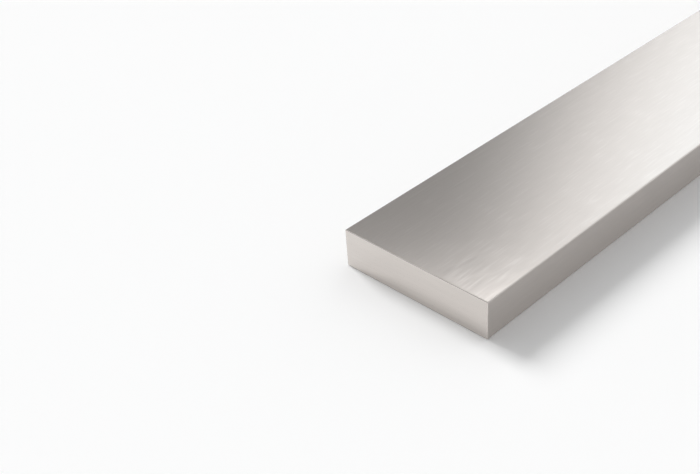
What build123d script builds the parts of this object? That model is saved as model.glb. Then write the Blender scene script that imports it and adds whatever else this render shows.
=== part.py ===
"""Stainless steel flat bar, 50 x 12 mm, cut to 500 mm.

One solid, in millimetres. X runs along the bar, Y across its width and Z up
through its thickness. The origin is in the middle of the underside, so the bar
lies flat on Z = 0.
"""

import os

from build123d import *

# Section, as rolled
BAR_WIDTH = 50.0
BAR_THICKNESS = 12.0
CORNER_RADIUS = 0.3  # of the four long corners, which the brushing belt eases a little

# Length, as cut
BAR_LENGTH = 500.0
END_BREAK_RADIUS = 0.25  # of the edge round each sawn end, deburred by hand


with BuildPart() as flat_bar:
    # The rolled section, standing on the Y axis, runs half the length each way.
    with BuildSketch(Plane.YZ):
        with Locations((0, BAR_THICKNESS / 2)):
            RectangleRounded(BAR_WIDTH, BAR_THICKNESS, CORNER_RADIUS)
    extrude(amount=BAR_LENGTH / 2, both=True)

    # Each sawn end is square, and the edge all round it is broken.
    sawn_ends = flat_bar.faces().filter_by(Axis.X)
    fillet(sawn_ends.edges(), END_BREAK_RADIUS)

os.makedirs("parts", exist_ok=True)
export_step(flat_bar.part, "parts/flat_bar.step")
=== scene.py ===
"""A belt-brushed stainless steel flat bar, lying on a white studio floor. Everything is in metres, in the
CAD frame: X along the bar, Y across it and Z up, with the floor at Z = 0. The near sawn end is the one at
low X, and left and right are as seen from there, so that left is +Y."""

import math

import bpy
from mathutils import Matrix, Vector


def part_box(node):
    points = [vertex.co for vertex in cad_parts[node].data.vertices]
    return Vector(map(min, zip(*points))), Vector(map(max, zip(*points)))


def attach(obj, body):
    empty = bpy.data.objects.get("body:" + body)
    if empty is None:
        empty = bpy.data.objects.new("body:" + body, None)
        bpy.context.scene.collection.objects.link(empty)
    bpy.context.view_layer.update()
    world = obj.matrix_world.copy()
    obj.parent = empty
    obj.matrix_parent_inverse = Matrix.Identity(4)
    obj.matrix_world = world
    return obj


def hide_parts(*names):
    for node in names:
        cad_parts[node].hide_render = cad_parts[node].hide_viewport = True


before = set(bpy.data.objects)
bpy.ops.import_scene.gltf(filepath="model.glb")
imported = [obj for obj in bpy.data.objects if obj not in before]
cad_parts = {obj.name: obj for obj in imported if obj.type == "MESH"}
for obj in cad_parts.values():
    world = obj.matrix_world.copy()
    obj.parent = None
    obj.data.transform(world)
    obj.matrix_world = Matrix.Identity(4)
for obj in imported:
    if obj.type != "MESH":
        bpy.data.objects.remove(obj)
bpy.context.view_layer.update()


# ---- Camera: a short telephoto lens close to the near end. It looks down along the bar, over its
# right-hand long edge, and is rolled a little.

low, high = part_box("flat_bar")
near_end = Vector((low.x, 0.0, 0.0))
camera_place = near_end + Vector((-0.1712, -0.1634, 0.1854))
camera_aim = near_end + Vector((0.0101, 0.0342, 0.0))
camera_roll = math.radians(-4.52)

camera = bpy.data.objects.new("camera", bpy.data.cameras.new("camera"))
bpy.context.scene.collection.objects.link(camera)
bpy.context.scene.camera = camera
camera.data.lens = 57.9
camera.data.clip_start = 0.01
camera.data.clip_end = 100.0
sight = (camera_aim - camera_place).to_track_quat("-Z", "Y").to_matrix().to_4x4()
roll = Matrix.Rotation(camera_roll, 4, "Z")
camera.matrix_world = Matrix.Translation(camera_place) @ sight @ roll


# ---- The bar: one length of 50 x 12 mm flat in 304 stainless steel, rolled in one piece and sawn square
# at both ends. The brushing belt has eased its four long corners a little, and a file has broken the edge
# all round each saw cut.

MM = 0.001
CORNER_RADIUS = 0.3 * MM
END_BREAK_RADIUS = 0.25 * MM
CORNER_STEPS = 6
END_STEPS = 5

length, width, thickness = high - low


def section(inset):
    """The bar's section, drawn in by inset: (y, z, normal y, normal z), anticlockwise seen from +X."""
    points = []
    for quarter, (side_y, side_z) in enumerate(((1, -1), (1, 1), (-1, 1), (-1, -1))):
        centre_y = side_y * (width / 2 - CORNER_RADIUS)
        centre_z = thickness / 2 + side_z * (thickness / 2 - CORNER_RADIUS)
        for step in range(CORNER_STEPS + 1):
            angle = math.pi / 2 * (quarter - 1 + step / CORNER_STEPS)
            normal_y, normal_z = math.cos(angle), math.sin(angle)
            reach = CORNER_RADIUS - inset
            points.append((centre_y + reach * normal_y, centre_z + reach * normal_z, normal_y, normal_z))
    return points


# One ring of points for each step of the two broken edges: (x, inset, and the normal's shares along the bar
# and across it).
rings = []
for end in (-1, 1):
    turns = [math.pi / 2 * step / END_STEPS for step in range(END_STEPS + 1)]
    for turn in (reversed(turns) if end < 0 else turns):
        x = end * (length / 2 - END_BREAK_RADIUS * (1 - math.sin(turn)))
        rings.append((x, END_BREAK_RADIUS * (1 - math.cos(turn)), end * math.sin(turn), math.cos(turn)))

vertices, normals = [], []
for x, inset, end_share, side_share in rings:
    for y, z, normal_y, normal_z in section(inset):
        vertices.append((x, y, z))
        normals.append((end_share, side_share * normal_y, side_share * normal_z))

WIDE_FACE, LONG_EDGE, EASED_CORNER, SAW_CUT = range(4)
TOP, UNDERSIDE = 1, 3
around = len(section(0))
faces, finishes = [], []
for ring in range(len(rings) - 1):
    for step in range(around):
        next_step = (step + 1) % around
        faces.append((ring * around + step, ring * around + next_step,
                      (ring + 1) * around + next_step, (ring + 1) * around + step))
        quarter, corner_step = divmod(step, CORNER_STEPS + 1)
        if ring != END_STEPS or corner_step != CORNER_STEPS:
            finishes.append(EASED_CORNER)
        else:
            finishes.append(WIDE_FACE if quarter in (TOP, UNDERSIDE) else LONG_EDGE)
faces.append(tuple(reversed(range(around))))
faces.append(tuple(range((len(rings) - 1) * around, len(rings) * around)))
finishes += [SAW_CUT, SAW_CUT]

bar_mesh = bpy.data.meshes.new("brushed_bar")
bar_mesh.from_pydata(vertices, [], faces)
bar_mesh.polygons.foreach_set("material_index", finishes)
bar_mesh.shade_smooth()
bar_mesh.normals_split_custom_set_from_vertices(normals)

# The grain map's U runs with the brush lines: along the bar, and across it on the saw cuts.
grain_map = bar_mesh.uv_layers.new(name="grain")
for polygon in bar_mesh.polygons:
    for corner in polygon.loop_indices:
        x, y, z = bar_mesh.vertices[bar_mesh.loops[corner].vertex_index].co
        grain_map.data[corner].uv = (y, z) if polygon.material_index == SAW_CUT else (x, y + z)


def linear(hex_colour):
    """An sRGB hex colour as linear RGBA."""
    shares = [int(hex_colour[i:i + 2], 16) / 255 for i in (1, 3, 5)]
    return tuple(s / 12.92 if s <= 0.04045 else ((s + 0.055) / 1.055) ** 2.4 for s in shares) + (1.0,)


def add_node(tree, kind, links=None, **settings):
    """One new node, with its settings, and with its sockets set to values or linked to other nodes. A Mix
    node's two ends go by number: 2 and 3 for plain numbers, 6 and 7 for colours."""
    node = tree.nodes.new(kind)
    for name, value in settings.items():
        setattr(node, name, value)
    for socket, source in (links or {}).items():
        if isinstance(source, bpy.types.NodeSocket):
            tree.links.new(source, node.inputs[socket])
        else:
            node.inputs[socket].default_value = source
    return node


def new_material(name):
    """An empty node material and its node tree."""
    material = bpy.data.materials.new(name)
    material.use_nodes = True
    material.node_tree.nodes.clear()
    return material, material.node_tree


# A 180-grit belt leaves scratches about 0.08 mm wide. The brush lines are drawn coarser, so that they show:
# the tone of the steel changes in lines of this width, and its relief in lines that are finer and shorter.
LINE_WIDTH = 0.4 * MM
RELIEF_FINENESS = 1.4

# Bare 304 is a warm grey under its thin clear oxide. The deepest scratches are painted lighter, a painted
# glint for the light their walls catch.
STEEL = "#D9D3CE"
SCRATCH_GLINT = "#F4F0EC"

# The share of the surface that is the slopes of scratches, and not the polished lands between them.
SCRATCHED_SHARE = 0.3

# Nearly all of a noise lies within the first range. The deepest scratches are the few peaks of the relief
# that reach into the second.
NOISE_RANGE = (0.3, 0.7)
STRAY_RANGE = (0.62, 0.75)

# The bands' share in the tone, and how far the tone moves the roughness of the lands either way.
BAND_SHARE = 0.3
ROUGHNESS_SPREAD = 0.01


def brushed_steel(name, grain, line_length, band_length, band_width,
                  lands, slopes, anisotropy, lean, contrast, scratch_glint):
    """Steel brushed along the axis named grain, in fine lines and wider, longer bands. Lands and slopes are
    the roughness of the flat metal and of the scratches in it, and anisotropy is how much further both
    spread a reflection across the grain than along it. Lean is the greatest tilt of a line across the grain,
    in radians, contrast is how much darker the darkest lines are, and scratch_glint is how much lighter a
    single deep scratch is painted, a painted glint for the light its walls catch."""
    material, tree = new_material(name)
    place = add_node(tree, "ShaderNodeTexCoord").outputs["Object"]

    # A noise of scale 1 goes from light to dark and back in about 2 units, and a size is that of one light
    # patch.
    line_scale = [1 / (2 * (line_length if axis == grain else LINE_WIDTH)) for axis in "XYZ"]
    band_scale = [1 / (2 * (band_length if axis == grain else band_width)) for axis in "XYZ"]
    line_place = add_node(tree, "ShaderNodeVectorMath", {
        0: place, 1: line_scale}, operation="MULTIPLY").outputs[0]
    band_place = add_node(tree, "ShaderNodeVectorMath", {
        0: place, 1: band_scale}, operation="MULTIPLY").outputs[0]
    lines = add_node(tree, "ShaderNodeTexNoise", {
        "Vector": line_place, "Scale": 1.0, "Detail": 2.0, "Roughness": 0.5}).outputs["Fac"]
    bands = add_node(tree, "ShaderNodeTexNoise", {
        "Vector": band_place, "Scale": 1.0, "Detail": 1.0, "Roughness": 0.5}).outputs["Fac"]
    tone = add_node(tree, "ShaderNodeMix", {
        "Factor": BAND_SHARE, 2: lines, 3: bands}, data_type="FLOAT").outputs[0]
    lightness = add_node(tree, "ShaderNodeMapRange", {
        "Value": tone, "From Min": NOISE_RANGE[0], "From Max": NOISE_RANGE[1]}).outputs["Result"]
    relief = add_node(tree, "ShaderNodeTexNoise", {
        "Vector": line_place, "Scale": RELIEF_FINENESS, "Detail": 0.0}).outputs["Fac"]

    # The few deepest scratches are painted lighter: a painted glint that stands in for the light their walls
    # catch.
    painted_glint_share = add_node(tree, "ShaderNodeMapRange", {
        "Value": relief, "From Min": STRAY_RANGE[0], "From Max": STRAY_RANGE[1],
        "To Max": scratch_glint}).outputs["Result"]
    light_steel = linear(STEEL)
    dark_steel = tuple(share * (1 - contrast) for share in light_steel[:3]) + (1.0,)
    # The lighter scratch colour mixed in below is a painted glint, not a colour of the steel.
    brushed = add_node(tree, "ShaderNodeMix", {
        "Factor": lightness, 6: dark_steel, 7: light_steel}, data_type="RGBA").outputs[2]
    colour = add_node(tree, "ShaderNodeMix", {
        "Factor": painted_glint_share, 6: brushed, 7: linear(SCRATCH_GLINT)}, data_type="RGBA").outputs[2]
    land_roughness = add_node(tree, "ShaderNodeMapRange", {
        "Value": tone, "From Min": NOISE_RANGE[0], "From Max": NOISE_RANGE[1],
        "To Min": lands + ROUGHNESS_SPREAD, "To Max": lands - ROUGHNESS_SPREAD}).outputs["Result"]

    # Every line leans to one side or the other, and so mirrors a slightly different part of the room.
    tangent = add_node(tree, "ShaderNodeTangent", direction_type="UV_MAP", uv_map="grain").outputs[0]
    flat_normal = add_node(tree, "ShaderNodeNewGeometry").outputs["Normal"]
    across = add_node(tree, "ShaderNodeVectorMath", {
        0: tangent, 1: flat_normal}, operation="CROSS_PRODUCT").outputs[0]
    tilt = add_node(tree, "ShaderNodeMapRange", {
        "Value": relief, "From Min": NOISE_RANGE[0], "From Max": NOISE_RANGE[1],
        "To Min": -lean, "To Max": lean}).outputs["Result"]
    normal = add_node(tree, "ShaderNodeVectorMath", {
        0: across, 1: tilt, 2: flat_normal}, operation="MULTIPLY_ADD").outputs[0]

    # The lands mirror the room softly, and the slopes spread the same light into a haze. Brush lines smear a
    # reflection across themselves, and the shader smears it along its tangent, so a quarter turn is added.
    polished = add_node(tree, "ShaderNodeBsdfPrincipled", {
        "Base Color": colour, "Metallic": 1.0, "Roughness": land_roughness, "Normal": normal,
        "Anisotropic": anisotropy, "Anisotropic Rotation": 0.25, "Tangent": tangent})
    scratched = add_node(tree, "ShaderNodeBsdfPrincipled", {
        "Base Color": colour, "Metallic": 1.0, "Roughness": slopes, "Normal": normal,
        "Anisotropic": anisotropy, "Anisotropic Rotation": 0.25, "Tangent": tangent})
    satin = add_node(tree, "ShaderNodeMixShader", {
        0: SCRATCHED_SHARE, 1: polished.outputs["BSDF"], 2: scratched.outputs["BSDF"]})
    add_node(tree, "ShaderNodeOutputMaterial", {"Surface": satin.outputs["Shader"]})
    return material


# The wide faces are belt brushed along the bar. That gives a satin which smears each reflection across the
# grain, with fine straight lines and a deeper scratch here and there, painted lighter as a painted glint.
wide_faces = brushed_steel(
    "304 stainless, belt brushed", grain="X",
    line_length=5 * MM, band_length=120 * MM, band_width=2.5 * MM,
    lands=0.12, slopes=0.29, anisotropy=0.7, lean=0.0035, contrast=0.055, scratch_glint=0.12)

# The long edges run under the same belt more lightly, which gives an even satin with hardly a line.
long_edges = brushed_steel(
    "304 stainless, edge brushed", grain="X",
    line_length=5 * MM, band_length=120 * MM, band_width=2.5 * MM,
    lands=0.12, slopes=0.29, anisotropy=0.7, lean=0.001, contrast=0.04, scratch_glint=0.04)

# The corners are only touched by the belt and the file, and catch the light as one thin clean line.
eased_corners = brushed_steel(
    "304 stainless, eased corner", grain="X",
    line_length=5 * MM, band_length=120 * MM, band_width=2.5 * MM,
    lands=0.12, slopes=0.29, anisotropy=0.4, lean=0.001, contrast=0.04, scratch_glint=0.04)

# The saw cuts are linished across the bar on a finer belt, which leaves them smoother and nearer a mirror.
saw_cuts = brushed_steel(
    "304 stainless, linished saw cut", grain="Y",
    line_length=8 * MM, band_length=30 * MM, band_width=1.5 * MM,
    lands=0.08, slopes=0.16, anisotropy=0.4, lean=0.001, contrast=0.04, scratch_glint=0.04)

for finish in (wide_faces, long_edges, eased_corners, saw_cuts):
    bar_mesh.materials.append(finish)

bar = bpy.data.objects.new("brushed_bar", bar_mesh)
bpy.context.scene.collection.objects.link(bar)
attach(bar, "root")
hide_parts("flat_bar")


# ---- Studio floor: a wide sheet of matt white board, level with the bar's underside, which takes the
# bar's shadow.

FLOOR_REACH = 20.0

floor_mesh = bpy.data.meshes.new("studio_floor")
floor_corners = [(side_x * FLOOR_REACH, side_y * FLOOR_REACH, 0.0)
                 for side_x, side_y in ((-1, -1), (1, -1), (1, 1), (-1, 1))]
floor_mesh.from_pydata(floor_corners, [], [(0, 1, 2, 3)])
floor = bpy.data.objects.new("studio_floor", floor_mesh)
bpy.context.scene.collection.objects.link(floor)

white_board, board = new_material("matt white board")
board_shader = add_node(board, "ShaderNodeBsdfDiffuse", {"Color": linear("#FCFCFC")})
add_node(board, "ShaderNodeOutputMaterial", {"Surface": board_shader.outputs["BSDF"]})
floor_mesh.materials.append(white_board)


# ---- Studio room: white all round, with a soft box beyond the far end, a grey flag beyond and to the left,
# and a strip light high over the flag. The steel mirrors them, and that gives its faces their shades.

world = bpy.data.worlds.new("studio_room")
world.use_nodes = True
bpy.context.scene.world = world
room = world.node_tree
room.nodes.clear()

# The room is laid out by direction. A direction is a unit vector, and each pair below says where along one
# of its axes a soft edge starts and ends.
compass = add_node(room, "ShaderNodeTexCoord").outputs["Generated"]
toward = add_node(room, "ShaderNodeSeparateXYZ", {"Vector": compass}).outputs

# The room is dimmer behind the camera than beyond the bar. It changes along the diagonal between +X and +Y.
ROOM_TURN = (-0.3, 0.3)
NEAR_LEVEL, FAR_LEVEL = 0.36, 0.85
beyond = add_node(room, "ShaderNodeMath", {0: toward["X"], 1: toward["Y"]}, operation="ADD").outputs[0]
room_level = add_node(room, "ShaderNodeMapRange", {
    "Value": beyond, "From Min": ROOM_TURN[0], "From Max": ROOM_TURN[1],
    "To Min": NEAR_LEVEL, "To Max": FAR_LEVEL}, interpolation_type="SMOOTHERSTEP").outputs["Result"]

# The flag takes up the quarter beyond and to the left.
FLAG_NEAR_EDGE = (-0.3, 0.2)
FLAG_RIGHT_EDGE = (0.02, 0.32)
FLAG_LEVEL = 0.187
ahead = add_node(room, "ShaderNodeMapRange", {
    "Value": toward["X"], "From Min": FLAG_NEAR_EDGE[0], "From Max": FLAG_NEAR_EDGE[1]},
    interpolation_type="SMOOTHERSTEP").outputs["Result"]
leftward = add_node(room, "ShaderNodeMapRange", {
    "Value": toward["Y"], "From Min": FLAG_RIGHT_EDGE[0], "From Max": FLAG_RIGHT_EDGE[1]},
    interpolation_type="SMOOTHERSTEP").outputs["Result"]
flag = add_node(room, "ShaderNodeMath", {0: ahead, 1: leftward}, operation="MULTIPLY").outputs[0]
flagged = add_node(room, "ShaderNodeMix", {
    "Factor": flag, 2: room_level, 3: FLAG_LEVEL}, data_type="FLOAT").outputs[0]

# The soft box is round, and a straight board cuts off all but its left-hand part.
SOFT_BOX_WAY = Vector((0.818, -0.182, 0.545))
SOFT_BOX_RIM = math.cos(math.radians(46.5))
SOFT_BOX_CORE = math.cos(math.radians(30.9))
BOARD_LEFT_EDGE = (0.19, 0.35)
SOFT_BOX_LEVEL = 1.70
facing = add_node(room, "ShaderNodeVectorMath", {
    0: compass, 1: SOFT_BOX_WAY}, operation="DOT_PRODUCT").outputs["Value"]
disc = add_node(room, "ShaderNodeMapRange", {
    "Value": facing, "From Min": SOFT_BOX_RIM, "From Max": SOFT_BOX_CORE},
    interpolation_type="SMOOTHERSTEP").outputs["Result"]
left_of_board = add_node(room, "ShaderNodeMapRange", {
    "Value": toward["Y"], "From Min": BOARD_LEFT_EDGE[0], "From Max": BOARD_LEFT_EDGE[1]},
    interpolation_type="SMOOTHERSTEP").outputs["Result"]
soft_box = add_node(room, "ShaderNodeMath", {
    0: disc, 1: left_of_board}, operation="MULTIPLY").outputs[0]
lit = add_node(room, "ShaderNodeMix", {
    "Factor": soft_box, 2: flagged, 3: SOFT_BOX_LEVEL}, data_type="FLOAT").outputs[0]

# Its lamp is a little cooler than the rest, most of all in the middle of the box.
SOFT_BOX_TINT = "#F4FBFF"
TINT_FALLOFF = 4.0
middle = add_node(room, "ShaderNodeMath", {0: soft_box, 1: TINT_FALLOFF}, operation="POWER").outputs[0]
light_colour = add_node(room, "ShaderNodeMix", {
    "Factor": middle, 6: linear("#FFFFFF"), 7: linear(SOFT_BOX_TINT)}, data_type="RGBA").outputs[2]

# The strip light hangs high over the flag, and fades out overhead.
STRIP_FOOT = (0.583, 0.663)
STRIP_HEAD = (0.578, 0.818)
STRIP_RIGHT_END = (0.26, 0.5)
STRIP_LEVEL = 2.24
over_foot = add_node(room, "ShaderNodeMapRange", {
    "Value": toward["Z"], "From Min": STRIP_FOOT[0], "From Max": STRIP_FOOT[1]},
    interpolation_type="SMOOTHERSTEP").outputs["Result"]
under_head = add_node(room, "ShaderNodeMapRange", {
    "Value": toward["Z"], "From Min": STRIP_HEAD[0], "From Max": STRIP_HEAD[1],
    "To Min": STRIP_LEVEL, "To Max": 0.0}, interpolation_type="SMOOTHERSTEP").outputs["Result"]
left_of_end = add_node(room, "ShaderNodeMapRange", {
    "Value": toward["Y"], "From Min": STRIP_RIGHT_END[0], "From Max": STRIP_RIGHT_END[1]},
    interpolation_type="SMOOTHERSTEP").outputs["Result"]
strip_height = add_node(room, "ShaderNodeMath", {
    0: over_foot, 1: under_head}, operation="MULTIPLY").outputs[0]
strip = add_node(room, "ShaderNodeMath", {
    0: strip_height, 1: left_of_end}, operation="MULTIPLY").outputs[0]
upper = add_node(room, "ShaderNodeMath", {
    0: strip, 1: ahead, 2: lit}, operation="MULTIPLY_ADD").outputs[0]

# Low white walls stand all round, behind everything else.
WALL_TOP = (0.26, 0.12)
WALL_LEVEL = 0.97
walls = add_node(room, "ShaderNodeMapRange", {
    "Value": toward["Z"], "From Min": WALL_TOP[0], "From Max": WALL_TOP[1]},
    interpolation_type="SMOOTHERSTEP").outputs["Result"]
level = add_node(room, "ShaderNodeMix", {
    "Factor": walls, 2: upper, 3: WALL_LEVEL}, data_type="FLOAT").outputs[0]
room_light = add_node(room, "ShaderNodeBackground", {"Color": light_colour, "Strength": level})
add_node(room, "ShaderNodeOutputWorld", {"Surface": room_light.outputs["Background"]})


# ---- Studio lamp: one wide soft lamp from the left, which casts the bar's shadow to the right. It is kept
# out of the steel's reflections.

LAMP_SPREAD = math.radians(22)
LAMP_STRENGTH = 2.3
LAMP_PLACE = Vector((0.12, 1.2, 0.9))

lamp_data = bpy.data.lights.new("soft_lamp", "SUN")
lamp_data.angle = LAMP_SPREAD
lamp_data.energy = LAMP_STRENGTH
lamp = bpy.data.objects.new("soft_lamp", lamp_data)
bpy.context.scene.collection.objects.link(lamp)
lamp_aim = (-LAMP_PLACE).to_track_quat("-Z", "Y").to_matrix().to_4x4()
lamp.matrix_world = Matrix.Translation(LAMP_PLACE) @ lamp_aim
lamp.visible_glossy = False


# ---- The picture's colours.

bpy.context.scene.view_settings.view_transform = "Standard"
